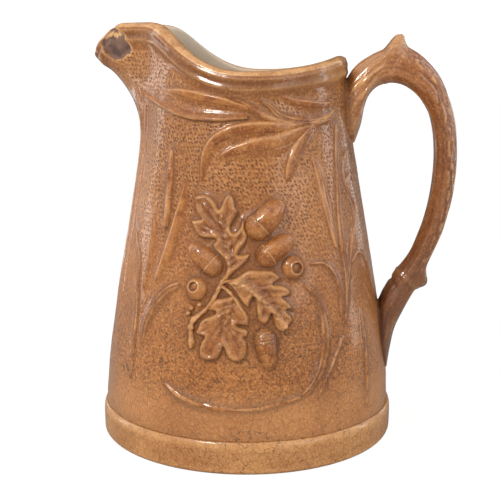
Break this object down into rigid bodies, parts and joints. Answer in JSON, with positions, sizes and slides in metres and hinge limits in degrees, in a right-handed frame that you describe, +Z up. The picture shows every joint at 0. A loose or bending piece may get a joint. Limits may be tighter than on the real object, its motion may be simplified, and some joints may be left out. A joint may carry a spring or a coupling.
{
  "type": "jug",
  "caption": "Tall tapered stoneware pouring jug with a pinched spout, rolled rim, branch handle and raised oak leaf and acorn ornament under a brown glaze.",
  "frame": {"origin": "middle of the foot ring, on the surface that the jug stands on", "axes": "+Z up, spout towards -X, handle towards +X, pictured side towards -Y"},
  "size_m": [0.1837, 0.1504, 0.2083],
  "materials": {
    "foot_glaze": "glossy brown glaze over stoneware",
    "body_glaze": "glossy caramel brown glaze with darker pooling",
    "handle_glaze": "glossy red-brown glaze, worn pale on the ridges",
    "relief_glaze": "glossy caramel glaze, thin and pale on raised edges"
  },
  "bodies": {
    "root": {"foot_base": "foot_glaze", "body_front_half": "body_glaze", "body_back_half": "body_glaze", "handle": "handle_glaze", "front_oak_leaf_upper": "relief_glaze", "front_oak_leaf_right": "relief_glaze", "front_oak_leaf_lower": "relief_glaze", "front_spray_stem": "relief_glaze", "front_acorn_upper": "relief_glaze", "front_acorn_middle": "relief_glaze", "front_acorn_left": "relief_glaze", "front_acorn_lower": "relief_glaze", "front_empty_cup_left": "relief_glaze", "front_empty_cup_right": "relief_glaze", "front_frame_vine": "relief_glaze", "front_neck_leaves": "relief_glaze", "front_side_reeds": "relief_glaze", "back_oak_leaf_upper": "relief_glaze", "back_oak_leaf_right": "relief_glaze", "back_oak_leaf_lower": "relief_glaze", "back_spray_stem": "relief_glaze", "back_acorn_upper": "relief_glaze", "back_acorn_middle": "relief_glaze", "back_acorn_left": "relief_glaze", "back_acorn_lower": "relief_glaze", "back_empty_cup_left": "relief_glaze", "back_empty_cup_right": "relief_glaze", "back_frame_vine": "relief_glaze", "back_neck_leaves": "relief_glaze", "back_side_reeds": "relief_glaze"}
  },
  "joints": []
}
